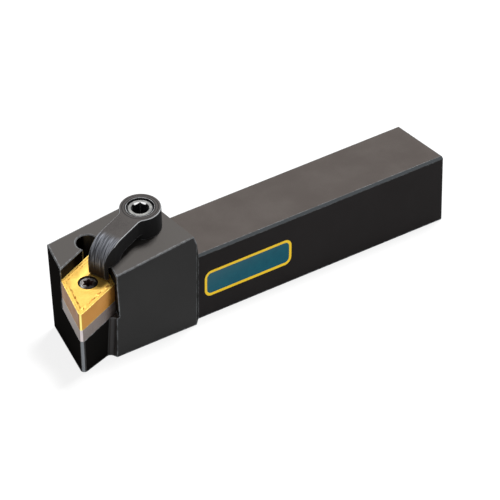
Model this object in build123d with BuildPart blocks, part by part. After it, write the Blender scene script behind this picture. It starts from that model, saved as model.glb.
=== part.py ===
from build123d import *
import os
from math import cos, radians, sin, tan

# Right-hand external turning tool holder for a 55 degree indexable insert, with a gooseneck
# top clamp and a lock pin. Millimetres. The origin is the centre of the shank's base face,
# +X runs from the cutting head to the rear end, +Y away from the cutting nose, +Z up.

# ---- shank and head ----
tool_length = 125.0          # cutting nose to rear end
shank_width = 20.0
shank_height = 20.0          # also the height of the cutting nose
head_length = 42.2           # cutting nose to the start of the shank
head_width = 22.0            # back side to the head's side plane
functional_width = 25.0      # back side to the cutting nose
head_step = 2.0              # run of the slanted step between head and shank
ramp_run = 3.0               # run of the steep ramp from the head's top to the shank
shank_chamfer = 0.6
edge_break = 0.25

# ---- seat ----
lead_angle = 17.5            # main cutting edge against the shank's axis
tilt_back = 6.0              # the seat plane rises toward the rear
tilt_side = 5.0              # and toward the back side
head_rise = 3.65             # head's top plane above the insert's top plane
shoulder_from_nose = 14.15   # nose to the shoulder on the side plane
shoulder_fillet = 1.3
anvil_nose_radius = 1.0
wall_gap = 0.02
relief_radius = 3.0
relief_along = 21.8          # relief hole centre on the seat plane
relief_across = 13.5

# ---- insert, shim and lock pin ----
corner_angle = 55.0
inscribed_circle = 12.7
insert_thick = 5.56
shim_thick = 3.97
nose_radius = 0.8
insert_hole_r = 2.58
land_width = 0.35
groove_width = 1.15
groove_depth = 0.22
shim_hole_r = 3.1
pin_head_r = 2.3
pin_eccentricity = 0.15
pin_thread_r = 2.45
pin_recess = 0.3
pin_socket = 2.5             # across the star socket's points
pin_depth = 17.0

# ---- clamp and its screw ----
clamp_from_nose = 31.2       # screw axis on the head's top plane, from the nose
clamp_from_back = 9.6        # and from the back side
arm_angle = 19.0             # arm against the shank's axis
ring_radius = 5.6
ring_top = 6.8               # above the head's top plane
ring_gap = 0.2               # ring's underside above the head's top plane
arm_width = 6.5
arm_thick = 4.7
arm_bend_start = 13.7        # from the screw axis
arm_bend_radius = 6.2
arm_round = 0.3              # along the arm's and the ring's upper edges
tip_thick = 5.0
tip_width = 5.2
tip_taper_start = 16.2       # from the screw axis, on the side of the cutting nose
toe_radius = 1.4
tip_wall_gap = 0.9           # nose of the clamp to the pocket's rear wall
neck_fillet = 2.5
screw_radius = 3.72
bore_radius = 3.78
screw_recess = 0.3
screw_length = 20.0
screw_chamfer = 0.5
socket_flats = 4.2
socket_depth = 4.5
socket_turn = 36.0           # a corner of the socket against the arm

beyond = 200.0               # reach of the cuts that pass right through the tool

# ---- derived frame ----
shank_length = tool_length - head_length
front = -shank_length / 2 - head_length
back = shank_width / 2
side = back - head_width
head_rear = front + head_length
edge = inscribed_circle / sin(radians(corner_angle))
run = cos(radians(corner_angle)) * edge
rise_x = tan(radians(tilt_back))
rise_y = tan(radians(tilt_side))
along = Vector(cos(radians(lead_angle)), sin(radians(lead_angle)), 0)
normal = Vector(-rise_x, -rise_y, 1).normalized()
nose = Vector(front, back - functional_width, shank_height)


def lift(x, y, over=0.0):
    """Point over (x, y), at height over along the normal from the insert's top plane."""
    z = nose.Z + rise_x * (x - nose.X) + rise_y * (y - nose.Y)
    return Vector(x, y, z) + normal * over


seat = Plane(
    origin=nose,
    x_dir=Vector(along.X, along.Y, rise_x * along.X + rise_y * along.Y),
    z_dir=normal,
)
floor = -insert_thick - shim_thick
cot = 1 / tan(radians(corner_angle))
rhombus = [
    (0, 0),
    (edge, 0),
    (edge + run, inscribed_circle),
    (run, inscribed_circle),
]
pin_at = ((edge + run) / 2, inscribed_circle / 2)

shoulder_out = Vector(front + shoulder_from_nose, side, 0)
shoulder_in = shoulder_out + Vector(-along.Y, along.X, 0) * (head_width / along.X)


def flank_foot(offset_along, z):
    """Point at height z on the anvil's side flank, offset_along from the nose edge."""
    p = nose + seat.x_dir * offset_along
    return p + normal * ((z - p.Z) / normal.Z)


# Holder body: nose anvil, head, shank, insert pocket and tapped holes in one forging.
with BuildPart() as holder_body:
    # Wedge of the head that stands square to the tilted seat, under the two cutting flanks.
    with BuildSketch(seat):
        with BuildLine():
            Polyline((0, 0), (edge + 1.5, 0), (30, 24), (24 * cot, 24), close=True)
        make_face()
    extrude(amount=40, both=True)
    with BuildSketch(Plane.XY):
        with BuildLine():
            Polyline(
                (front - 5, back),
                (head_rear, back),
                (head_rear, side - 8),
                (front - 5, side - 8),
                close=True,
            )
        make_face()
    extrude(amount=45, mode=Mode.INTERSECT)
    # Head behind the upright shoulder, with the slanted step down to the shank.
    with BuildSketch(Plane.XY):
        with BuildLine():
            Polyline(
                (shoulder_out.X, shoulder_out.Y),
                (head_rear - head_step, side),
                (head_rear, back - shank_width),
                (head_rear, back),
                (shoulder_in.X, back),
                close=True,
            )
        make_face()
    extrude(amount=45)
    # Front end face, square to the seat and in line with the insert's end flank.
    with BuildSketch(seat):
        with BuildLine():
            Polyline((-6 * cot, -6), (30 * cot, 30), (-25, 30), (-25, -6), close=True)
        make_face()
    extrude(amount=60, both=True, mode=Mode.SUBTRACT)
    # Head's top plane, parallel to the seat.
    with BuildSketch(seat.offset(head_rise)):
        Rectangle(beyond, beyond)
    extrude(amount=40, mode=Mode.SUBTRACT)
    # Steep ramp from the top plane down to the shank.
    ramp_top = lift(head_rear - ramp_run, side, head_rise).Z
    with BuildSketch(Plane.XZ):
        with BuildLine():
            Polyline(
                (head_rear - ramp_run * 2, 2 * ramp_top - shank_height),
                (head_rear, shank_height),
                (head_rear + 5, shank_height),
                (head_rear + 5, 2 * ramp_top),
                close=True,
            )
        make_face()
    extrude(amount=60, both=True, mode=Mode.SUBTRACT)
    # Corner between the anvil's side flank and the shoulder.
    reach = (shoulder_out - nose).dot(along)
    fillet(holder_body.edges().sort_by_distance(flank_foot(reach - 1.5, 6))[0], shoulder_fillet)
    # Rounded nose of the anvil.
    fillet(holder_body.edges().sort_by_distance(flank_foot(0, 6))[0], anvil_nose_radius)
    # Pocket for shim and insert, with two locating walls.
    with BuildSketch(seat.offset(floor)):
        with BuildLine():
            Polyline(
                (-20, -14),
                (edge + wall_gap - 14 * cot, -14),
                (edge + wall_gap + (inscribed_circle + wall_gap) * cot, inscribed_circle + wall_gap),
                (-20, inscribed_circle + wall_gap),
                close=True,
            )
        make_face()
    extrude(amount=30, mode=Mode.SUBTRACT)
    # Relief hole where the two walls meet.
    with BuildSketch(seat.offset(floor - 0.5)):
        with Locations((relief_along, relief_across)):
            Circle(relief_radius)
    extrude(amount=30, mode=Mode.SUBTRACT)
    # Thin breaks round the head's top plane.
    top_face = holder_body.faces().sort_by_distance(lift(head_rear - 9, side + 4, head_rise))[0]
    chamfer(top_face.outer_wire().edges().sort_by(Axis.X)[:-1], edge_break)
    # Shank, with its upper long edges broken.
    with BuildSketch(Plane.YZ.offset(head_rear - 0.01)):
        with BuildLine():
            Polyline(
                (-back, 0),
                (back, 0),
                (back, shank_height - shank_chamfer),
                (back - shank_chamfer, shank_height),
                (shank_chamfer - back, shank_height),
                (-back, shank_height - shank_chamfer),
                close=True,
            )
        make_face()
    extrude(amount=shank_length + 0.01)
    chamfer(holder_body.faces().sort_by(Axis.X)[-1].edges(), edge_break)
    # Tapped hole of the clamp screw.
    clamp_foot = lift(front + clamp_from_nose, back - clamp_from_back, head_rise)
    with BuildSketch(Plane(origin=clamp_foot, z_dir=normal)):
        Circle(bore_radius)
    extrude(amount=-17.0, mode=Mode.SUBTRACT)
    # Tapped hole of the lock pin.
    with BuildSketch(seat.offset(floor)):
        with Locations(pin_at):
            Circle(pin_thread_r + 0.06)
    extrude(amount=-(pin_depth + floor), mode=Mode.SUBTRACT)
holder_body.part.label = "holder_body"

# Shim: carbide plate of the insert's outline under the insert.
with BuildPart() as shim:
    with BuildSketch(seat.offset(floor)):
        with BuildLine():
            Polyline(*rhombus, close=True)
        make_face()
        fillet(vertices(), nose_radius)
        with Locations(pin_at):
            Circle(shim_hole_r, mode=Mode.SUBTRACT)
    extrude(amount=shim_thick)
shim.part.label = "shim"

# Insert: 55 degree rhombus with a chip-breaking groove behind a narrow land, on both faces.
with BuildPart() as insert:
    with BuildSketch(seat.offset(-insert_thick)):
        with BuildLine():
            Polyline(*rhombus, close=True)
        make_face()
        fillet(vertices(), nose_radius)
        with Locations(pin_at):
            Circle(insert_hole_r, mode=Mode.SUBTRACT)
    extrude(amount=insert_thick)
    for level, depth in ((0, -groove_depth), (-insert_thick, groove_depth)):
        with BuildSketch(seat.offset(level)):
            with BuildLine():
                Polyline(*rhombus, close=True)
            make_face()
            fillet(vertices(), nose_radius)
            offset(amount=-land_width)
            offset(amount=-groove_width, mode=Mode.SUBTRACT)
        extrude(amount=depth, mode=Mode.SUBTRACT)
insert.part.label = "insert"

# Lock pin: threaded foot, waist through the shim and an eccentric head in the insert's hole.
with BuildPart() as lock_pin:
    with BuildSketch(seat.offset(-pin_depth + 0.5)):
        with Locations(pin_at):
            Circle(pin_thread_r)
    extrude(amount=pin_depth - 0.5 + floor)
    with BuildSketch(seat.offset(floor)):
        with Locations(pin_at):
            Circle(shim_hole_r - 0.15)
    extrude(amount=shim_thick - 0.3)
    with BuildSketch(seat.offset(-insert_thick - 0.3)):
        with Locations((pin_at[0] + pin_eccentricity, pin_at[1])):
            Circle(pin_head_r)
    extrude(amount=insert_thick + 0.3 - pin_recess)
    pin_top = seat.from_local_coords((pin_at[0] + pin_eccentricity, pin_at[1], -pin_recess))
    chamfer(lock_pin.faces().sort_by_distance(pin_top)[0].edges(), 0.3)
    with BuildSketch(seat.offset(-pin_recess)):
        with Locations((pin_at[0] + pin_eccentricity, pin_at[1])):
            RegularPolygon(pin_socket / 2, 3)
            RegularPolygon(pin_socket / 2, 3, rotation=60)
    extrude(amount=-2.5, mode=Mode.SUBTRACT)
lock_pin.part.label = "lock_pin"

# Clamp: threaded ring and an arm that bends down onto the insert.
arm_dir = Vector(-cos(radians(arm_angle)), -sin(radians(arm_angle)), 0)
arm_dir = Vector(arm_dir.X, arm_dir.Y, rise_x * arm_dir.X + rise_y * arm_dir.Y)
clamp_plane = Plane(origin=clamp_foot, x_dir=arm_dir, z_dir=normal)
arm_side = Plane(origin=clamp_foot, x_dir=arm_dir, z_dir=clamp_plane.y_dir * -1)
arm_under = ring_top - arm_thick
tip_front = arm_bend_start + arm_bend_radius
with BuildPart() as clamp:
    # Arm's side profile, with the screw axis at 0 and the head's top plane at 0.
    with BuildSketch(arm_side):
        with BuildLine():
            top_line = Line((0, ring_top), (arm_bend_start, ring_top))
            bend = RadiusArc(top_line @ 1, (tip_front, ring_top - arm_bend_radius), arm_bend_radius)
            face_line = Line(bend @ 1, (tip_front, toe_radius - head_rise))
            toe = RadiusArc(face_line @ 1, (tip_front - toe_radius, -head_rise), toe_radius)
            foot_line = Line(toe @ 1, (tip_front - tip_thick, -head_rise))
            heel_line = Line(foot_line @ 1, (tip_front - tip_thick, arm_under - 3.5))
            inner = RadiusArc(heel_line @ 1, (tip_front - tip_thick - 3.5, arm_under), -3.5)
            Line(inner @ 1, (0, arm_under))
            Line((0, arm_under), (0, ring_top))
        make_face()
    extrude(amount=arm_width / 2, both=True)
    with BuildSketch(clamp_plane.offset(ring_gap)):
        Circle(ring_radius)
    extrude(amount=ring_top - ring_gap)
    # Concave necks between ring and arm.
    neck_at = (ring_radius**2 - arm_width**2 / 4) ** 0.5
    for flank in (-arm_width / 2, arm_width / 2):
        neck = clamp_plane.from_local_coords((neck_at, flank, ring_top - arm_thick / 2))
        fillet(clamp.edges().sort_by_distance(neck)[0], neck_fillet)
    # Rounded edges along the ring's top and the arm's top, bend, face and toe.
    crown = [
        clamp.faces().sort_by_distance(clamp_plane.from_local_coords(spot))[0]
        for spot in (
            (arm_bend_start / 2, 0, ring_top),
            (arm_bend_start + arm_bend_radius * 0.7, 0, ring_top - arm_bend_radius * 0.3),
            (tip_front, 0, (ring_top - arm_bend_radius + toe_radius - head_rise) / 2),
            (tip_front - toe_radius * 0.3, 0, toe_radius * 0.3 - head_rise),
        )
    ]
    crown_edges = ShapeList(line for face in crown for line in face.edges())
    across = crown_edges.filter_by(Axis(clamp_foot, clamp_plane.y_dir))
    rim_edges = [line for line in crown_edges if not any(line.is_same(other) for other in across)]
    fillet(rim_edges, arm_round)
    # Arm drawn in toward its tip, on the side of the cutting nose.
    with BuildSketch(clamp_plane.offset(-head_rise)):
        with BuildLine():
            Polyline(
                (tip_taper_start, arm_width / 2),
                (tip_front, tip_width - arm_width / 2),
                (tip_front + arm_width, tip_width - arm_width / 2),
                (tip_front + arm_width, arm_width),
                (tip_taper_start, arm_width),
                close=True,
            )
        make_face()
    extrude(amount=head_rise + ring_top + 1, mode=Mode.SUBTRACT)
    # Nose cut back to stand clear of the pocket's rear wall.
    wall_at = edge - tip_wall_gap / sin(radians(corner_angle))
    with BuildSketch(seat.offset(-1)):
        with BuildLine():
            Polyline(
                (wall_at - 14 * cot, -14),
                (beyond, -14),
                (beyond, 30),
                (wall_at + 30 * cot, 30),
                close=True,
            )
        make_face()
    extrude(amount=head_rise + ring_gap + 1, mode=Mode.SUBTRACT)
    # Tapped hole through the ring.
    with BuildSketch(clamp_plane):
        Circle(bore_radius)
    extrude(amount=ring_top + 1, mode=Mode.SUBTRACT)
clamp.part.label = "clamp"

# Clamp screw: headless, threaded through the ring into the head, with a hexagon socket.
with BuildPart() as clamp_screw:
    with BuildSketch(clamp_plane.offset(ring_top - screw_recess)):
        Circle(screw_radius)
    extrude(amount=-screw_length)
    chamfer(clamp_screw.edges().filter_by(GeomType.CIRCLE), screw_chamfer)
    with BuildSketch(clamp_plane.offset(ring_top - screw_recess)):
        RegularPolygon(socket_flats / 2, 6, major_radius=False, rotation=socket_turn)
    extrude(amount=-socket_depth, mode=Mode.SUBTRACT)
clamp_screw.part.label = "clamp_screw"

os.makedirs("parts", exist_ok=True)
for piece in (holder_body, shim, insert, lock_pin, clamp, clamp_screw):
    export_step(piece.part, f"parts/{piece.part.label}.step")
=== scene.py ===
# Right-hand turning tool holder in black oxide, with a coated insert on a carbide shim.
# Metres; the frame is the holder's own: X along the shank to its rear end, Z up, and the
# cutting nose at minus X, minus Y.
import bmesh
import bpy
from math import atan2, cos, pi, radians, sin, tan
from mathutils import Matrix, Vector


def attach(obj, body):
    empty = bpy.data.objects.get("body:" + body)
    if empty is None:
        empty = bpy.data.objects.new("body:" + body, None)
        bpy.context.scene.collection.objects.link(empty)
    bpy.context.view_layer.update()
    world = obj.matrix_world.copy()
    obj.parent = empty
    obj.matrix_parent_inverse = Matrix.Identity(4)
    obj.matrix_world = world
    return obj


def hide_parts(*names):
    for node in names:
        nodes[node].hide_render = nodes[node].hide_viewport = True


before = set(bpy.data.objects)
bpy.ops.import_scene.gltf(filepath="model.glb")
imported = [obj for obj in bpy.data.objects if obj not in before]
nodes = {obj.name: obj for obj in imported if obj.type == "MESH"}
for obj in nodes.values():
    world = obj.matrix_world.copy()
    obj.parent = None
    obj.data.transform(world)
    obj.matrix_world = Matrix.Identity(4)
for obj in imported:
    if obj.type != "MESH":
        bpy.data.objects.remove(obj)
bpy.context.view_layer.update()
scene = bpy.context.scene
scene.view_settings.view_transform = "Standard"

MM = 0.001

# ---- sizes shared with the solids, in millimetres ----
NOSE = Vector((-83.6, -15.0, 20.0))
TILT_BACK = radians(6.0)
TILT_SIDE = radians(5.0)
LEAD = radians(17.5)
CORNER = radians(55.0)
INSCRIBED = 12.7
INSERT_THICK = 5.56
NOSE_RADIUS = 0.8
HOLE_RADIUS = 2.58
RELIEF_AT = (21.8, 13.5)
CLAMP_FOOT = Vector((-52.7801, 0.0836, 28.2429))
ARM_ANGLE = radians(19.0)
BEND_FROM = 12.5  # from the screw's axis along the arm
RING_TOP = 6.8
SCREW_RECESS = 0.3
SCREW_RADIUS = 3.72
SCREW_LENGTH = 20.0
SOCKET_FLATS = 4.2
SOCKET_DEPTH = 4.5
SOCKET_TURN = radians(6.0)
SHANK_SIDE = -10.0
PIN_OFFSET = 0.15
PIN_RECESS = 0.3

# ---- sizes of the finer pieces, in millimetres ----
LAND = 0.35
GROOVE = 1.15
GROOVE_DEPTH = 0.22
GROOVE_STEPS = ((0.25, -1), (0.40, 0), (0.35, 1))  # shares of its width, and how it rises
SCALLOP_EVERY = 6  # points of the groove's inner edge from one scallop to the next
SCALLOP_LENGTH = 3
SCALLOP_DEPTH = 0.28
HOLE_CHAMFER = 0.32
THREAD_PITCH = 1.0
THREAD_DEPTH = 0.5
END_RADIUS = 3.2
SOCKET_MOUTH = 2.45
SOCKET_LEAD_IN = 0.4
STAR_RADIUS = 1.2
STAR_LOBE = 0.3
STAR_LOBES = 6
STAR_DEPTH = 2.5
STAR_TURN = radians(35.6)
PATCH_AT = (-24.9, SHANK_SIDE, 9.8)
PATCH_SIZE = (28.9, 0.12, 7.8)
PATCH_CORNER = 2.2
PATCH_BORDER = 0.75
PATCH_STEP = (0.03, -0.02)  # width and depth of the step inside the border

# ---- grain and wear, in metres or per metre ----
PIT_SCALE = 3500.0
PIT_SHARE = 0.4
PIT_DEPTH = 0.00005
WEAR_SCALE = 900.0
MARKS_FROM = 0.0041  # off the screw's axis, where the first turning mark is deepest
MARKS_PITCH = 0.00072

# ---- where a finish fades in, as the places in metres where its mask is 0 and 1 ----
HEAD_TOP_Z = (0.0208, 0.0225)
HEAD_SIDE_X = (-0.0430, -0.0436)
SHANK_X = (-0.0417, -0.0412)
ANVIL_NOSE_X = (-0.0760, -0.0790)
POCKET_FLOOR_Z = (0.0130, 0.0135)
RAMP_X = (-0.0462, -0.0455)
RAMP_Y = (-0.0119, -0.0115)
RAMP_Z = (0.0250, 0.0265)
TOE_Z = (0.0274, 0.0241)
BEND_FADE = 0.003
# The same, as distances from the axis or the middle of a hole.
RELIEF_REACH = (0.0046, 0.0042)
WALL_REACH = (0.0085, 0.0060)
MARKS_END = (0.0054, 0.0052)
BREAKER_REACH = (0.0033, 0.0038)
STAR_REACH = (0.00182, 0.00176)
PIN_RIM_FROM = 0.0018
# How far to the front and the back of the pin's middle its painted light starts and is full; the
# near side gets painted shade.
LIT_FAR_SIDE = (-0.0012, 0.0004)

# ---- floor, light and camera, in metres and degrees ----
FLOOR_SIZE = 6
FLOOR_DROP = 0.0002
FLOOR_GLOW = 0.86
SKY_DIM = 0.12
CAMERA_AT = (-0.842851, -1.086937, 0.890329)
CAMERA_TURN = (57.0983, -0.2971, -37.0443)
CAMERA_LENS = 436.187

EDGE = INSCRIBED / sin(CORNER)
RUN = EDGE * cos(CORNER)
HOLE_AT = Vector(((EDGE + RUN) / 2, INSCRIBED / 2, 0))


def tilted_frame(origin, heading):
    """Matrix to metres from local millimetres, with X on the heading and Z square to the seat."""
    slope_x = tan(TILT_BACK)
    slope_y = tan(TILT_SIDE)
    up = Vector((-slope_x, -slope_y, 1)).normalized()
    ahead = Vector((cos(heading), sin(heading), 0))
    ahead.z = slope_x * ahead.x + slope_y * ahead.y
    ahead.normalize()
    across = up.cross(ahead)
    turn = Matrix((ahead, across, up)).transposed().to_4x4()
    return Matrix.Translation(origin * MM) @ turn @ Matrix.Scale(MM, 4)


SEAT = tilted_frame(NOSE, LEAD)
CLAMP = tilted_frame(CLAMP_FOOT, ARM_ANGLE + pi)


def direction(place, along, across, up):
    """Unit direction in the holder's frame of one given in a local frame."""
    return (place.to_3x3() @ Vector((along, across, up))).normalized()


SEAT_UP = direction(SEAT, 0, 0, 1)
SIDE_FLANK = direction(SEAT, 0, -1, 0)
FRONT_FACE = direction(SEAT, -sin(CORNER), cos(CORNER), 0)
# Direction that the painted glint on the noses faces.
NOSE_GLINT_FACE = (SIDE_FLANK + FRONT_FACE).normalized()
STEP_FACE = Vector((1, -1, 0)).normalized()
ARM_ACROSS = direction(CLAMP, 0, 1, 0)
ARM_AHEAD = direction(CLAMP, 1, 0, 0)
BEND_FACE = direction(CLAMP, 0.8, 0, 0.6)
# Direction that the painted glints in the screw's socket face.
GLINT_SIDE = direction(CLAMP, cos(SOCKET_TURN + pi / 6), sin(SOCKET_TURN + pi / 6), 1)
BEND_START = (CLAMP_FOOT.dot(ARM_AHEAD) + BEND_FROM) * MM


# ---------------------------------------------------------------- modelling helpers
def clear():
    """Leaves object mode with nothing selected."""
    if bpy.context.object and bpy.context.object.mode != "OBJECT":
        bpy.ops.object.mode_set(mode="OBJECT")
    bpy.ops.object.select_all(action="DESELECT")


def start_edit(piece):
    """Edit mode on the piece alone, with nothing in it selected."""
    clear()
    piece.select_set(True)
    bpy.context.view_layer.objects.active = piece
    bpy.ops.object.mode_set(mode="EDIT")
    bpy.ops.mesh.select_all(action="DESELECT")


def pick(piece, kind, test):
    """Selects only the vertices, edges or faces that pass the test, in edit mode."""
    bpy.ops.mesh.select_mode(type=kind)
    bpy.ops.mesh.select_all(action="DESELECT")
    shape = bmesh.from_edit_mesh(piece.data)
    parts = {"VERT": shape.verts, "EDGE": shape.edges, "FACE": shape.faces}[kind]
    for part in parts:
        if test(part):
            part.select_set(True)
    shape.select_flush_mode()
    bmesh.update_edit_mesh(piece.data)


def end_edit():
    """Back to object mode, with the mesh written."""
    bpy.ops.object.mode_set(mode="OBJECT")


def finish_modifiers(piece):
    """Applies every modifier of the piece, in order."""
    clear()
    piece.select_set(True)
    bpy.context.view_layer.objects.active = piece
    for name in [m.name for m in piece.modifiers]:
        bpy.ops.object.modifier_apply(modifier=name)


def settle(piece, place, body, material, replaced=None, smooth=35):
    """Puts a piece modelled in local millimetres into the holder's frame and hands it over."""
    clear()
    piece.select_set(True)
    bpy.context.view_layer.objects.active = piece
    bpy.ops.object.transform_apply(location=True, rotation=True, scale=True)
    piece.data.transform(place)
    start_edit(piece)
    bpy.ops.mesh.select_all(action="SELECT")
    bpy.ops.mesh.normals_make_consistent(inside=False)
    end_edit()
    bpy.ops.object.shade_smooth_by_angle(angle=radians(smooth))
    piece.data.materials.clear()
    piece.data.materials.append(material)
    if replaced:
        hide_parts(replaced)
    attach(piece, body)


def cut_with(piece, cutter):
    """Takes the cutter's shape out of the piece and deletes the cutter."""
    cut = piece.modifiers.new("cut", "BOOLEAN")
    cut.operation = "DIFFERENCE"
    cut.solver = "EXACT"
    cut.object = cutter
    finish_modifiers(piece)
    bpy.data.objects.remove(cutter)


# ---------------------------------------------------------------- node helpers
def new_group(name, inputs, outputs):
    """Shader node group with named sockets; gives the tree, its inputs and its results."""
    tree = bpy.data.node_groups.new(name, "ShaderNodeTree")
    for label, kind, value in inputs:
        kind = "NodeSocket" + kind
        socket = tree.interface.new_socket(name=label, in_out="INPUT", socket_type=kind)
        socket.default_value = value
    for label, kind in outputs:
        kind = "NodeSocket" + kind
        tree.interface.new_socket(name=label, in_out="OUTPUT", socket_type=kind)
    given = tree.nodes.new("NodeGroupInput").outputs
    results = tree.nodes.new("NodeGroupOutput").inputs
    return tree, given, results


def add(tree, kind, wires=None, **settings):
    """New node with its settings and its sockets, each set to a value or wired to an output."""
    made = tree.nodes.new("ShaderNode" + kind)
    for key, value in settings.items():
        setattr(made, key, value)
    for socket, source in (wires or {}).items():
        if isinstance(source, bpy.types.NodeSocket):
            tree.links.new(source, made.inputs[socket])
        else:
            made.inputs[socket].default_value = source
    return made


def calc(tree, operation, first, second=0.0, clamp=False):
    """Result of one Math node, held within 0..1 where clamp is set."""
    wires = {0: first, 1: second}
    return add(tree, "Math", wires, operation=operation, use_clamp=clamp).outputs[0]


def product(tree, first, second):
    return calc(tree, "MULTIPLY", first, second)


def larger(tree, first, second):
    return calc(tree, "MAXIMUM", first, second)


def less(tree, first, second):
    """First mask with the second taken out of it."""
    return calc(tree, "SUBTRACT", first, second, True)


def vector(tree, operation, first, second):
    """Vector that comes of two others."""
    return add(tree, "VectorMath", {0: first, 1: second}, operation=operation).outputs[0]


def dot(tree, first, second):
    wires = {0: first, 1: second}
    return add(tree, "VectorMath", wires, operation="DOT_PRODUCT").outputs["Value"]


def ramp(tree, value, low, high, out_low=0.0, out_high=1.0):
    """Value remapped from low..high to out_low..out_high, smoothly and clamped."""
    wires = {
        "Value": value,
        "From Min": low,
        "From Max": high,
        "To Min": out_low,
        "To Max": out_high,
    }
    return add(tree, "MapRange", wires, interpolation_type="SMOOTHSTEP").outputs[0]


def blend_color(tree, factor, first, second):
    """First color where the factor is 0, second where it is 1."""
    return add(tree, "Mix", {0: factor, 6: first, 7: second}, data_type="RGBA").outputs[2]


def noise(tree, place, scale, detail=3.0, roughness=0.5):
    wires = {"Vector": place, "Scale": scale, "Detail": detail, "Roughness": roughness}
    return add(tree, "TexNoise", wires).outputs["Fac"]


def object_place(tree):
    """Place on the piece, in metres of the holder's frame."""
    return add(tree, "TexCoord").outputs["Object"]


def object_normal(tree):
    return add(tree, "TexCoord").outputs["Normal"]


def axes(tree):
    """The place's X, Y and Z by themselves."""
    return add(tree, "SeparateXYZ", {0: object_place(tree)}).outputs


# ---- groups ----
def make_steel_grain():
    """Cloudy tone and fine pits of oxidised or ground steel, with its roughness and height."""
    tree, given, out = new_group(
        "Steel grain",
        [
            ("Dark tone", "Color", (0.10, 0.09, 0.08, 1)),
            ("Light tone", "Color", (0.14, 0.12, 0.11, 1)),
            ("Cloud scale", "Float", 70.0),
            ("Smoothest", "Float", 0.42),
            ("Roughest", "Float", 0.60),
        ],
        [("Color", "Color"), ("Roughness", "Float"), ("Height", "Float")],
    )
    place = object_place(tree)
    clouds = noise(tree, place, given["Cloud scale"], 4.0, 0.6)
    pits = noise(tree, place, PIT_SCALE, 2.0, 0.6)
    cloudy = product(tree, clouds, 1 - PIT_SHARE)
    pitted = product(tree, pits, PIT_SHARE)
    both = ramp(tree, calc(tree, "ADD", cloudy, pitted), 0.36, 0.64)
    tree.links.new(blend_color(tree, both, given["Dark tone"], given["Light tone"]), out["Color"])
    wires = {"Value": both, "To Min": given["Smoothest"], "To Max": given["Roughest"]}
    tree.links.new(add(tree, "MapRange", wires).outputs[0], out["Roughness"])
    tree.links.new(pits, out["Height"])
    return tree


def make_edge_wear_and_highlight():
    """Mask that is 1 on outer edges, broken up by noise: their wear, and the highlights painted on
    them.
    """
    tree, given, out = new_group(
        "Edge wear",
        [("Width", "Float", 0.0004), ("Amount", "Float", 1.0)],
        [("Mask", "Float")],
    )
    rounded = add(tree, "Bevel", {"Radius": given["Width"]}, samples=8).outputs["Normal"]
    flat = add(tree, "NewGeometry").outputs["True Normal"]
    worn_and_lit = ramp(tree, dot(tree, rounded, flat), 0.995, 0.90)
    patches = noise(tree, object_place(tree), WEAR_SCALE)
    broken = ramp(tree, patches, 0.32, 0.62, 0.25, 1.0)
    mask = calc(tree, "MULTIPLY", product(tree, worn_and_lit, broken), given["Amount"], True)
    tree.links.new(mask, out["Mask"])
    return tree


def make_streaks():
    """Fine lines drawn along one heading, as a belt or wheel leaves them."""
    tree, given, out = new_group(
        "Grinding streaks",
        [("Heading", "Float", 0.0), ("Line scale", "Float", 1500.0), ("Stretch", "Float", 0.05)],
        [("Mask", "Float")],
    )
    wires = {"Vector": object_place(tree), "Angle": given["Heading"]}
    turned = add(tree, "VectorRotate", wires, rotation_type="Z_AXIS").outputs[0]
    wires = {0: given["Stretch"], 1: 1.0, 2: given["Stretch"]}
    stretch = add(tree, "CombineXYZ", wires).outputs[0]
    drawn = vector(tree, "MULTIPLY", turned, stretch)
    lines = noise(tree, drawn, given["Line scale"], 3.0, 0.6)
    tree.links.new(ramp(tree, lines, 0.35, 0.65), out["Mask"])
    return tree


def make_facing():
    """Mask of the surface that faces one direction, fading in between two cosines."""
    tree, given, out = new_group(
        "Facing",
        [("Direction", "Vector", (0, 0, 1)), ("From", "Float", 0.8), ("To", "Float", 0.95)],
        [("Mask", "Float")],
    )
    cosine = dot(tree, object_normal(tree), given["Direction"])
    tree.links.new(ramp(tree, cosine, given["From"], given["To"]), out["Mask"])
    return tree


def make_rim():
    """Mask of rounded or chamfered rims: what leans 25 to 65 degrees off a direction."""
    tree, given, out = new_group(
        "Leaning rim", [("Direction", "Vector", (0, 0, 1))], [("Mask", "Float")]
    )
    lean = calc(tree, "ABSOLUTE", dot(tree, object_normal(tree), given["Direction"]))
    band = product(tree, ramp(tree, lean, 0.30, 0.45), ramp(tree, lean, 0.95, 0.88))
    tree.links.new(band, out["Mask"])
    return tree


def make_off_axis():
    """Distance from an axis that stands square to the seat."""
    tree, given, out = new_group(
        "Off axis", [("Axis at", "Vector", (0, 0, 0))], [("Distance", "Float")]
    )
    out_by = vector(tree, "SUBTRACT", object_place(tree), given["Axis at"])
    wires = {0: SEAT_UP, "Scale": dot(tree, out_by, SEAT_UP)}
    along = add(tree, "VectorMath", wires, operation="SCALE").outputs[0]
    across = vector(tree, "SUBTRACT", out_by, along)
    distance = add(tree, "VectorMath", {0: across}, operation="LENGTH").outputs["Value"]
    tree.links.new(distance, out["Distance"])
    return tree


STEEL_GRAIN = make_steel_grain()
EDGE_WEAR_AND_HIGHLIGHT = make_edge_wear_and_highlight()
STREAKS = make_streaks()
FACING = make_facing()
RIM = make_rim()
OFF_AXIS = make_off_axis()


def place_group(tree, group, **values):
    """Puts a group in a material with its own values; underscores stand for spaces."""
    used = tree.nodes.new("ShaderNodeGroup")
    used.node_tree = group
    for key, value in values.items():
        used.inputs[key.replace("_", " ")].default_value = value
    return used.outputs


def facing(tree, towards, start, full):
    """Mask of the surface that faces a direction, from the cosine start to the cosine full."""
    return place_group(tree, FACING, Direction=towards, From=start, To=full)["Mask"]


def leaning(tree, off):
    """Mask of the rims that lean off a direction."""
    return place_group(tree, RIM, Direction=off)["Mask"]


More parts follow.
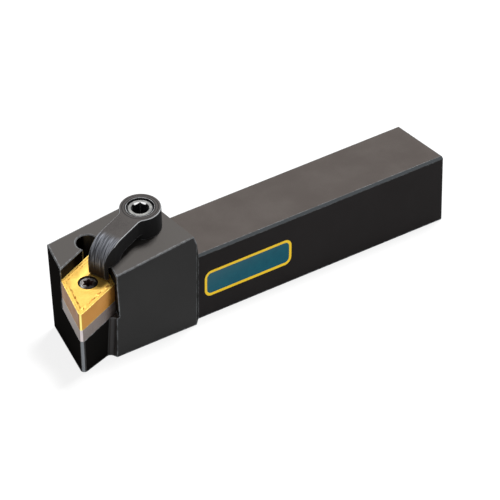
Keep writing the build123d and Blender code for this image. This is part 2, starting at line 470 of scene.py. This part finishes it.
# Mask of worn edges, which also carry painted highlights.
def worn_and_lit_edges(tree, width, amount):
    return place_group(tree, EDGE_WEAR_AND_HIGHLIGHT, Width=width, Amount=amount)["Mask"]


def off_axis(tree, at):
    """Distance from the axis through one point, square to the seat."""
    return place_group(tree, OFF_AXIS, Axis_at=at)["Distance"]


def new_material(name, **shader):
    """Material with a Principled shader; gives the material, its tree and the shader's inputs."""
    material = bpy.data.materials.new(name)
    material.use_nodes = True
    tree = material.node_tree
    inputs = tree.nodes["Principled BSDF"].inputs
    for key, value in shader.items():
        inputs[key.replace("_", " ")].default_value = value
    return material, tree, inputs


def wire_surface(tree, inputs, color, grain, bump):
    """Gives the shader its color, and its roughness and fine relief from the grain."""
    tree.links.new(color, inputs["Base Color"])
    tree.links.new(grain["Roughness"], inputs["Roughness"])
    wires = {"Height": grain["Height"], "Strength": bump, "Distance": PIT_DEPTH}
    tree.links.new(add(tree, "Bump", wires).outputs["Normal"], inputs["Normal"])


# ---- materials ----
def make_oxide_body():
    """Black oxide on the forging, cooler where the head was machined, with painted shade on its
    front and in its hollows, and painted highlights on its edges and nose.
    """
    material, tree, inputs = new_material("black_oxide", Specular_IOR_Level=0.0)
    grain = place_group(
        tree,
        STEEL_GRAIN,
        Dark_tone=(0.088, 0.076, 0.070, 1),
        Light_tone=(0.106, 0.093, 0.086, 1),
    )
    at = axes(tree)
    # Outer faces, each with its own tone.
    head_top = ramp(tree, at["Z"], *HEAD_TOP_Z, 0.0, 0.7)
    color = blend_color(tree, head_top, grain["Color"], (0.098, 0.094, 0.090, 1))
    sideways = facing(tree, (0, -1, 0), 0.985, 0.995)
    head_side = product(tree, sideways, ramp(tree, at["X"], *HEAD_SIDE_X))
    shank_side = less(tree, sideways, head_side)
    color = blend_color(tree, head_side, color, (0.14, 0.14, 0.14, 1))
    color = blend_color(tree, shank_side, color, (0.078, 0.072, 0.072, 1))
    step = facing(tree, STEP_FACE, 0.95, 0.99)
    color = blend_color(tree, step, color, (0.045, 0.045, 0.044, 1))
    # Painted shade: the front face and the flank by the pocket are darkened almost to black.
    front = facing(tree, FRONT_FACE, 0.90, 0.97)
    flank = facing(tree, SIDE_FLANK, 0.975, 0.99)
    front_painted_shade = larger(tree, front, flank)
    color = blend_color(tree, front_painted_shade, color, (0.038, 0.035, 0.033, 1))
    # Painted shade: the walls of the relief hole and the pocket are darkened to near black.
    off_relief = off_axis(tree, SEAT @ Vector((*RELIEF_AT, 0)))
    above_floor = ramp(tree, at["Z"], *POCKET_FLOOR_Z)
    upright = facing(tree, SEAT_UP, 0.45, 0.20)
    hole = product(tree, upright, ramp(tree, off_relief, *RELIEF_REACH))
    walls = product(tree, front_painted_shade, ramp(tree, off_relief, *WALL_REACH))
    hollow_painted_shade = product(tree, larger(tree, hole, walls), above_floor)
    color = blend_color(tree, hollow_painted_shade, color, (0.006, 0.005, 0.005, 1))
    # Edges: the shank's chamfers painted a darker bluish grey, as painted shade and painted
    # reflection; the head's edges worn and lightened with painted highlights, but not where the
    # ramp starts.
    rims = leaning(tree, SEAT_UP)
    shank_rim_shade = product(tree, rims, ramp(tree, at["X"], *SHANK_X))
    color = blend_color(tree, shank_rim_shade, color, (0.078, 0.086, 0.092, 1))
    ramp_start = product(tree, ramp(tree, at["X"], *RAMP_X), ramp(tree, at["Y"], *RAMP_Y))
    ramp_start = product(tree, ramp_start, ramp(tree, at["Z"], *RAMP_Z))
    worn_and_lit = less(tree, worn_and_lit_edges(tree, 0.00075, 1.0), ramp_start)
    worn_and_lit = less(tree, worn_and_lit, shank_rim_shade)
    # Painted highlights on the head's rims and a painted glint on the anvil's nose, with the worn
    # edges.
    head_rim_highlight = product(tree, less(tree, rims, shank_rim_shade), 0.28)
    nose = facing(tree, NOSE_GLINT_FACE, 0.80, 0.97)
    nose = product(tree, nose, ramp(tree, at["X"], *ANVIL_NOSE_X, 0.30, 1.0))
    wear_and_glint = larger(tree, larger(tree, worn_and_lit, head_rim_highlight), nose)
    color = blend_color(tree, wear_and_glint, color, (0.30, 0.32, 0.34, 1))
    # Less sheen where the front's painted shade is.
    sheen = product(tree, calc(tree, "SUBTRACT", 1.0, front_painted_shade), 0.12)
    metallic = larger(tree, product(tree, wear_and_glint, 0.7), sheen)
    tree.links.new(metallic, inputs["Metallic"])
    wire_surface(tree, inputs, color, grain, 0.12)
    return material


def make_oxide_clamp():
    """Black oxide on the clamp, ground to streaks over the bend that are lightened bluish as
    painted highlights, browned at its toe, with painted shade on its walls.
    """
    material, tree, inputs = new_material("clamp_oxide", Specular_IOR_Level=0.03)
    grain = place_group(
        tree,
        STEEL_GRAIN,
        Dark_tone=(0.070, 0.064, 0.062, 1),
        Light_tone=(0.100, 0.092, 0.088, 1),
    )
    # Turning marks on the ring's top, and painted shade on the upright walls.
    off_screw = off_axis(tree, CLAMP_FOOT * MM)
    phase = product(tree, calc(tree, "SUBTRACT", off_screw, MARKS_FROM), 2 * pi / MARKS_PITCH)
    rings = calc(tree, "COSINE", phase)
    dark_lines = calc(tree, "MULTIPLY", rings, ramp(tree, off_screw, *MARKS_END), True)
    color = blend_color(tree, dark_lines, grain["Color"], (0.030, 0.030, 0.031, 1))
    upright = facing(tree, SEAT_UP, 0.45, 0.20)
    color = blend_color(tree, upright, color, (0.050, 0.050, 0.052, 1))
    # Grinding streaks over the bend, down to the toe, lightened bluish as painted highlights where
    # the bend faces forward and up.
    along_arm = dot(tree, object_place(tree), ARM_AHEAD)
    on_bend = ramp(tree, along_arm, BEND_START, BEND_START + BEND_FADE)
    ground = product(tree, on_bend, facing(tree, BEND_FACE, 0.30, 0.60))
    streaks = place_group(
        tree, STREAKS, Heading=-ARM_ANGLE, Line_scale=3000.0, Stretch=0.05
    )["Mask"]
    streaked = blend_color(tree, streaks, (0.055, 0.058, 0.066, 1), (0.25, 0.26, 0.29, 1))
    toe = ramp(tree, axes(tree)["Z"], *TOE_Z)
    browned = blend_color(tree, toe, streaked, (0.055, 0.040, 0.029, 1))
    color = blend_color(tree, ground, color, browned)
    # Edges: the rims lean off the seat's normal on the ring, and off the arm's side on the bend;
    # they and the worn edges are lightened as painted highlights.
    wires = {0: on_bend, 2: leaning(tree, SEAT_UP), 3: leaning(tree, ARM_ACROSS)}
    rims = add(tree, "Mix", wires).outputs[0]
    worn_and_lit = larger(tree, worn_and_lit_edges(tree, 0.0004, 0.8), rims)
    color = blend_color(tree, worn_and_lit, color, (0.34, 0.35, 0.36, 1))
    shiny = product(tree, product(tree, ground, streaks), less(tree, 0.5, toe))
    metallic = larger(tree, product(tree, worn_and_lit, 0.6), shiny)
    tree.links.new(metallic, inputs["Metallic"])
    wire_surface(tree, inputs, color, grain, 0.15)
    return material


def make_carbide_shim():
    """Ground bare carbide, with worn edges lightened as painted highlights and a painted glint on
    its nose.
    """
    material, tree, inputs = new_material("bare_carbide", Specular_IOR_Level=0.3)
    grain = place_group(
        tree,
        STEEL_GRAIN,
        Dark_tone=(0.31, 0.255, 0.235, 1),
        Light_tone=(0.43, 0.365, 0.34, 1),
        Cloud_scale=200.0,
        Smoothest=0.35,
        Roughest=0.5,
    )
    # Painted glint on the nose, and painted highlights on the worn edges.
    nose = facing(tree, NOSE_GLINT_FACE, 0.80, 0.95)
    wear_and_glint = larger(tree, worn_and_lit_edges(tree, 0.0003, 0.6), nose)
    color = blend_color(tree, wear_and_glint, grain["Color"], (0.80, 0.72, 0.72, 1))
    tree.links.new(ramp(tree, wear_and_glint, 0.0, 1.0, 0.35, 0.8), inputs["Metallic"])
    wire_surface(tree, inputs, color, grain, 0.08)
    return material


def make_coated_carbide():
    """Gold nitride coating, mottled, deeper on the flanks, with painted shade on the end flank, on
    the chip breaker's slopes and in the hole, and painted highlights on its edges and nose.
    """
    material, tree, inputs = new_material("gold_coating", Specular_IOR_Level=0.05)
    grain = place_group(
        tree,
        STEEL_GRAIN,
        Dark_tone=(0.84, 0.50, 0.10, 1),
        Light_tone=(0.95, 0.60, 0.14, 1),
        Cloud_scale=260.0,
        Smoothest=0.3,
        Roughest=0.45,
    )
    face_up = facing(tree, SEAT_UP, 0.30, 0.80)
    # Painted shade: the end flank is a darker brown than the side flanks.
    end_flank = facing(tree, FRONT_FACE, 0.85, 0.97)
    flanks = blend_color(tree, end_flank, (0.95, 0.44, 0.09, 1), (0.40, 0.17, 0.04, 1))
    color = blend_color(tree, face_up, flanks, grain["Color"])
    # Painted brown shade on the chip breaker's slopes, away from the hole.
    hole = SEAT @ HOLE_AT
    wires = {0: object_place(tree), 1: hole}
    from_hole = add(tree, "VectorMath", wires, operation="DISTANCE").outputs["Value"]
    slope_shade = product(tree, facing(tree, SEAT_UP, 0.985, 0.93), face_up)
    slope_shade = product(tree, slope_shade, ramp(tree, from_hole, *BREAKER_REACH))
    patchy = ramp(tree, noise(tree, object_place(tree), 900.0, 2.0), 0.42, 0.60)
    dark_lines = product(tree, product(tree, slope_shade, patchy), 0.9)
    color = blend_color(tree, dark_lines, color, (0.42, 0.16, 0.02, 1))
    # Painted shade inside the hole.
    hole_shade = ramp(tree, off_axis(tree, hole), HOLE_RADIUS * MM * 1.06, HOLE_RADIUS * MM * 1.03)
    color = blend_color(tree, hole_shade, color, (0.030, 0.020, 0.012, 1))
    # Painted glint on the nose and painted highlights on the worn edges.
    nose = facing(tree, NOSE_GLINT_FACE, 0.80, 0.95)
    wear_and_glint = less(tree, larger(tree, worn_and_lit_edges(tree, 0.0004, 0.7), nose), hole_shade)
    color = blend_color(tree, wear_and_glint, color, (1.0, 0.90, 0.28, 1))
    sheen = ramp(tree, face_up, 0.0, 1.0, 0.42, 0.15)
    tree.links.new(larger(tree, sheen, wear_and_glint), inputs["Metallic"])
    wire_surface(tree, inputs, color, grain, 0.05)
    return material


def make_screw_oxide():
    """Oiled black oxide of the clamp screw, with its worn edges and thread crests lightened as
    painted highlights.
    """
    material, tree, inputs = new_material("screw_oxide", Specular_IOR_Level=0.5)
    grain = place_group(
        tree,
        STEEL_GRAIN,
        Dark_tone=(0.020, 0.020, 0.022, 1),
        Light_tone=(0.040, 0.040, 0.042, 1),
        Smoothest=0.22,
        Roughest=0.38,
    )
    worn_and_lit = worn_and_lit_edges(tree, 0.0004, 1.0)
    color = blend_color(tree, worn_and_lit, grain["Color"], (0.62, 0.62, 0.62, 1))
    wire_surface(tree, inputs, color, grain, 0.1)
    return material


def make_lead_in():
    """Socket's lead-in: oxidised, with painted glints on the two flats that face one way."""
    material, tree, inputs = new_material("socket_lead_in", Specular_IOR_Level=0.1)
    grain = place_group(
        tree,
        STEEL_GRAIN,
        Dark_tone=(0.006, 0.006, 0.006, 1),
        Light_tone=(0.016, 0.016, 0.017, 1),
        Smoothest=0.10,
        Roughest=0.20,
    )
    # Painted glints on the two flats that face this way.
    bright = facing(tree, GLINT_SIDE, 0.82, 0.90)
    color = blend_color(tree, bright, grain["Color"], (0.95, 0.95, 0.95, 1))
    tree.links.new(bright, inputs["Metallic"])
    wire_surface(tree, inputs, color, grain, 0.05)
    return material


def make_bare_steel():
    """Bare turned steel of the clamp screw's end, where wrenches keep the oxide off."""
    material, tree, inputs = new_material("screw_rim_steel", Metallic=0.9)
    grain = place_group(
        tree,
        STEEL_GRAIN,
        Dark_tone=(0.10, 0.10, 0.10, 1),
        Light_tone=(0.20, 0.20, 0.19, 1),
        Cloud_scale=500.0,
        Smoothest=0.40,
        Roughest=0.55,
    )
    wire_surface(tree, inputs, grain["Color"], grain, 0.1)
    return material


def make_pin_steel():
    """Turned steel of the lock pin's head, with painted light on its far half and painted shade on
    its near half, a painted highlight on its far rim, and painted shade with a red-brown painted
    reflection in its star socket.
    """
    material, tree, inputs = new_material("pin_steel", Specular_IOR_Level=0.2)
    grain = place_group(
        tree,
        STEEL_GRAIN,
        Dark_tone=(0.22, 0.21, 0.21, 1),
        Light_tone=(0.34, 0.32, 0.31, 1),
    )
    hole = SEAT @ HOLE_AT
    # Painted light on the pin's far half and painted shade on its near half.
    lit_far_side = ramp(tree, axes(tree)["Y"], hole.y + LIT_FAR_SIDE[0], hole.y + LIT_FAR_SIDE[1])
    color = blend_color(tree, lit_far_side, (0.020, 0.018, 0.018, 1), grain["Color"])
    off_pin = off_axis(tree, hole)
    # Painted shade in the star socket, tinted red-brown as a painted reflection of the insert.
    faced = facing(tree, SEAT_UP, 0.90, 0.97)
    socket = product(tree, ramp(tree, off_pin, *STAR_REACH), less(tree, 1.0, faced))
    color = blend_color(tree, socket, color, (0.030, 0.009, 0.007, 1))
    # Painted highlight on the far side of the head's rim.
    outside = calc(tree, "GREATER_THAN", off_pin, PIN_RIM_FROM)
    far_rim_highlight = product(tree, product(tree, leaning(tree, SEAT_UP), outside), lit_far_side)
    color = blend_color(tree, far_rim_highlight, color, (0.7, 0.7, 0.7, 1))
    tree.links.new(less(tree, 0.8, socket), inputs["Metallic"])
    wire_surface(tree, inputs, color, grain, 0.1)
    return material


def make_foil(name, dark, light):
    """Tinted foil of the marking patch, slightly uneven."""
    material, tree, inputs = new_material(name, Metallic=0.8)
    grain = place_group(
        tree,
        STEEL_GRAIN,
        Dark_tone=dark,
        Light_tone=light,
        Cloud_scale=300.0,
        Smoothest=0.4,
        Roughest=0.5,
    )
    wire_surface(tree, inputs, grain["Color"], grain, 0.05)
    return material


BLACK_OXIDE = make_oxide_body()
CLAMP_OXIDE = make_oxide_clamp()
BARE_CARBIDE = make_carbide_shim()
GOLD_COATING = make_coated_carbide()
SCREW_OXIDE = make_screw_oxide()
SCREW_RIM = make_bare_steel()
LEAD_IN = make_lead_in()
PIN_STEEL = make_pin_steel()
TEAL_FOIL = make_foil("teal_foil", (0.006, 0.085, 0.125, 1), (0.010, 0.115, 0.160, 1))
YELLOW_FOIL = make_foil("yellow_foil", (0.90, 0.58, 0.02, 1), (1.0, 0.70, 0.04, 1))


def dress(name, material):
    """Gives a CAD node its material."""
    data = nodes[name].data
    data.materials.clear()
    data.materials.append(material)


dress("holder_body", BLACK_OXIDE)
dress("shim", BARE_CARBIDE)
dress("clamp", CLAMP_OXIDE)


# ---------------------------------------------------------------- pieces
def shrink(amount, middle):
    """Draws the selected faces of the insert in by one amount on all sides, about its middle."""
    share = 1 - amount / (INSCRIBED / 2)
    bpy.ops.transform.resize(value=(share, share, 1), center_override=middle)


def model_insert():
    """Rhombic insert with rounded corners, lands, scalloped chip breakers and a chamfered hole."""
    clear()
    bpy.ops.mesh.primitive_cube_add(
        size=1,
        location=(EDGE / 2, INSCRIBED / 2, -INSERT_THICK / 2),
        scale=(EDGE, INSCRIBED, INSERT_THICK),
    )
    plate = bpy.context.object
    plate.name = "coated_insert"
    bpy.ops.object.transform_apply(location=True, rotation=True, scale=True)
    start_edit(plate)
    pick(plate, "VERT", lambda v: v.co.y > INSCRIBED / 2)
    bpy.ops.transform.translate(value=(RUN, 0, 0))
    middle = HOLE_AT.xy
    # The two sharp corners lie farther out than the two blunt ones.
    reach = ((EDGE + RUN) / 2) * 0.8
    for angle, sharp in ((CORNER, True), (pi - CORNER, False)):
        pick(
            plate,
            "EDGE",
            lambda e: abs(e.verts[0].co.z - e.verts[1].co.z) > INSERT_THICK / 2
            and ((e.verts[0].co.xy - middle).length > reach) == sharp,
        )
        bpy.ops.mesh.bevel(offset=NOSE_RADIUS / tan(angle / 2), segments=8, affect="EDGES")
    pick(plate, "EDGE", lambda e: e.calc_length() > INSERT_THICK + 1)
    bpy.ops.mesh.subdivide(number_cuts=23)
    for side in (1, -1):
        rim_z = 0 if side > 0 else -INSERT_THICK
        centre = (middle.x, middle.y, rim_z)
        pick(plate, "FACE", lambda f: f.normal.z * side > 0.9)
        bpy.ops.mesh.inset(thickness=LAND, depth=0)
        for share, rise in GROOVE_STEPS:
            move = {"value": (0, 0, GROOVE_DEPTH * rise * side)}
            bpy.ops.mesh.extrude_region_move(TRANSFORM_OT_translate=move)
            shrink(GROOVE * share, centre)
        shape = bmesh.from_edit_mesh(plate.data)
        plateau = next(f for f in shape.faces if f.select)
        for step, vert in enumerate(plateau.verts):
            if step % SCALLOP_EVERY < SCALLOP_LENGTH:
                vert.co.xy += (middle - vert.co.xy).normalized() * SCALLOP_DEPTH
        bmesh.update_edit_mesh(plate.data)
    end_edit()
    bpy.ops.mesh.primitive_cylinder_add(
        vertices=64, radius=HOLE_RADIUS, depth=4 * INSERT_THICK, location=HOLE_AT
    )
    cut_with(plate, bpy.context.object)
    start_edit(plate)
    pick(
        plate,
        "EDGE",
        lambda e: all(abs((v.co.xy - middle).length - HOLE_RADIUS) < 0.02 for v in e.verts)
        and abs(e.verts[0].co.z - e.verts[1].co.z) < 0.01,
    )
    bpy.ops.mesh.bevel(offset=HOLE_CHAMFER, segments=3, affect="EDGES")
    end_edit()
    settle(plate, SEAT, "holder", GOLD_COATING, "insert", 20)


def cut_thread(piece, top, length, radius):
    """Draws a finely divided screw's side in to a V thread, and both its ends to a chamfer."""
    for vert in piece.data.vertices:
        out = vert.co.xy.length
        if out < radius * 0.98 or vert.co.z > top - 0.05 or vert.co.z < top - length + 0.05:
            continue
        turns = atan2(vert.co.y, vert.co.x) / (2 * pi) - vert.co.z / THREAD_PITCH
        share = abs(2 * (turns % 1.0) - 1)
        fade = min(1.0, (top - vert.co.z) / 1.0, (vert.co.z - top + length) / 1.0)
        vert.co.xy *= 1 - THREAD_DEPTH * share * fade / radius
    for vert in piece.data.vertices:
        from_end = min(top - vert.co.z, vert.co.z - top + length)
        if vert.co.xy.length > END_RADIUS + from_end:
            vert.co.xy *= (END_RADIUS + from_end) / vert.co.xy.length


def model_clamp_screw():
    """Headless screw, threaded all along, with a hexagon socket and its round lead-in."""
    top = RING_TOP - SCREW_RECESS
    clear()
    bpy.ops.mesh.primitive_cylinder_add(
        vertices=48,
        radius=SCREW_RADIUS,
        depth=SCREW_LENGTH,
        location=(0, 0, top - SCREW_LENGTH / 2),
    )
    screw = bpy.context.object
    screw.name = "threaded_clamp_screw"
    bpy.ops.object.transform_apply(location=True, rotation=True, scale=True)
    start_edit(screw)
    pick(screw, "EDGE", lambda e: e.calc_length() > SCREW_LENGTH / 2)
    bpy.ops.mesh.subdivide(number_cuts=139)
    end_edit()
    cut_thread(screw, top, SCREW_LENGTH, SCREW_RADIUS)
    corner = SOCKET_FLATS / 2 / cos(pi / 6)
    bpy.ops.mesh.primitive_cylinder_add(
        vertices=6,
        radius=corner,
        depth=2 * SOCKET_DEPTH,
        location=(0, 0, top),
        rotation=(0, 0, SOCKET_TURN),
    )
    cut_with(screw, bpy.context.object)
    bpy.ops.mesh.primitive_cone_add(
        vertices=48,
        radius1=SOCKET_MOUTH - SOCKET_LEAD_IN,
        radius2=SOCKET_MOUTH + SOCKET_LEAD_IN,
        depth=2 * SOCKET_LEAD_IN,
        location=(0, 0, top),
    )
    cut_with(screw, bpy.context.object)
    settle(screw, CLAMP, "clamp_screw", SCREW_OXIDE, "clamp_screw")
    screw.data.materials.append(SCREW_RIM)
    screw.data.materials.append(LEAD_IN)
    up = direction(CLAMP, 0, 0, 1)
    end = CLAMP @ Vector((0, 0, top))
    for face in screw.data.polygons:
        off = face.center - end
        if face.normal.dot(up) > 0.95 and abs(off.dot(up)) < 0.0002:
            face.material_index = 1
        elif off.length < SOCKET_MOUTH * MM * 1.1 and 0.2 < face.normal.dot(up) < 0.9:
            face.material_index = 2


def model_lock_pin():
    """Lock pin, its plain socket closed in a merged copy and cut anew with round lobes."""
    clear()
    pin = bpy.data.objects.new("star_lock_pin", nodes["lock_pin"].data.copy())
    scene.collection.objects.link(pin)
    pin.data.transform(SEAT.inverted())
    start_edit(pin)
    bpy.ops.mesh.select_all(action="SELECT")
    bpy.ops.mesh.remove_doubles(threshold=0.001)
    head = HOLE_AT + Vector((PIN_OFFSET, 0, -PIN_RECESS))
    tips = STAR_RADIUS + STAR_LOBE
    pick(
        pin,
        "FACE",
        lambda f: (f.calc_center_median().xy - head.xy).length < tips
        and -STAR_DEPTH - 0.01 < f.calc_center_median().z - head.z < -0.01,
    )
    bpy.ops.mesh.delete(type="FACE")
    pick(pin, "EDGE", lambda e: e.is_boundary)
    bpy.ops.mesh.edge_face_add()
    end_edit()
    bpy.ops.mesh.primitive_cylinder_add(vertices=72, radius=1, depth=2 * STAR_DEPTH, location=head)
    star = bpy.context.object
    for vert in star.data.vertices:
        lobe = cos(STAR_LOBES * (atan2(vert.co.y, vert.co.x) - STAR_TURN))
        vert.co.xy *= STAR_RADIUS + STAR_LOBE * lobe
    cut_with(pin, star)
    settle(pin, SEAT, "lock_pin", PIN_STEEL, "lock_pin")


def model_marking_patch():
    """Plain foil patch with a raised border, on the shank's side near the head."""
    clear()
    bpy.ops.mesh.primitive_cube_add(size=1, location=PATCH_AT, scale=PATCH_SIZE)
    patch = bpy.context.object
    patch.name = "marking_patch"
    bpy.ops.object.transform_apply(location=True, rotation=True, scale=True)
    start_edit(patch)
    pick(patch, "EDGE", lambda e: abs(e.verts[0].co.y - e.verts[1].co.y) > 0.1)
    bpy.ops.mesh.bevel(offset=PATCH_CORNER, segments=10, affect="EDGES")
    pick(patch, "FACE", lambda f: f.normal.y < -0.9)
    bpy.ops.mesh.inset(thickness=PATCH_BORDER, depth=0)
    bpy.ops.mesh.inset(thickness=PATCH_STEP[0], depth=PATCH_STEP[1])
    end_edit()
    settle(patch, Matrix.Scale(MM, 4), "holder", YELLOW_FOIL)
    patch.data.materials.append(TEAL_FOIL)
    field = max((f for f in patch.data.polygons if f.normal.y < -0.9), key=lambda f: f.area)
    field.material_index = 1


model_insert()
model_clamp_screw()
model_marking_patch()
model_lock_pin()


# ---------------------------------------------------------------- floor, light and camera
def show_white(tree, dim_shader, white_shader, output):
    """Dim for light that bounces, and white where the camera, a gloss or a glass sees it."""
    path = add(tree, "LightPath").outputs
    seen = larger(tree, path["Is Camera Ray"], path["Is Glossy Ray"])
    seen = larger(tree, seen, path["Is Transmission Ray"])
    mixed = add(tree, "MixShader", {0: seen, 1: dim_shader, 2: white_shader}).outputs[0]
    add(tree, output, {"Surface": mixed})


def lay_floor():
    """White paper under the holder, a hair below it, that keeps the holder's shadow."""
    clear()
    bpy.ops.mesh.primitive_plane_add(size=FLOOR_SIZE, location=(0, 0, -FLOOR_DROP))
    ground = bpy.context.object
    ground.name = "floor"
    paper = bpy.data.materials.new("floor_paper")
    paper.use_nodes = True
    tree = paper.node_tree
    tree.nodes.clear()
    dim = add(tree, "BsdfDiffuse", {"Color": (0.16, 0.16, 0.16, 1)}).outputs[0]
    pale = add(tree, "BsdfDiffuse", {"Color": (0.2, 0.2, 0.2, 1)}).outputs[0]
    lit = add(tree, "Emission", {"Color": (1, 1, 1, 1), "Strength": FLOOR_GLOW}).outputs[0]
    white = add(tree, "AddShader", {0: pale, 1: lit}).outputs[0]
    show_white(tree, dim, white, "OutputMaterial")
    ground.data.materials.append(paper)


def light_sky():
    """Even white surroundings, dim as a light."""
    sky = bpy.data.worlds.new("studio")
    scene.world = sky
    sky.use_nodes = True
    tree = sky.node_tree
    tree.nodes.clear()
    dim = add(tree, "Background", {"Color": (1, 1, 1, 1), "Strength": SKY_DIM}).outputs[0]
    white = add(tree, "Background", {"Color": (1, 1, 1, 1), "Strength": 1.0}).outputs[0]
    show_white(tree, dim, white, "OutputWorld")


def softbox(name, side, distance, size, power):
    """Square area lamp on the given side, turned to the object."""
    towards = Vector(side).normalized()
    clear()
    bpy.ops.object.light_add(type="AREA", location=towards * distance)
    lamp = bpy.context.object
    lamp.name = name
    lamp.data.size = size
    lamp.data.energy = power
    lamp.rotation_euler = towards.to_track_quat("Z", "Y").to_euler()


lay_floor()
light_sky()
softbox("key", (0.32, 0.13, 0.94), distance=1.2, size=0.35, power=18.5)

bpy.ops.object.camera_add(location=CAMERA_AT)
camera = bpy.context.object
camera.name = "camera"
camera.rotation_euler = [radians(angle) for angle in CAMERA_TURN]
camera.data.sensor_width = 36.0
camera.data.lens = CAMERA_LENS
camera.data.clip_end = 20
scene.camera = camera
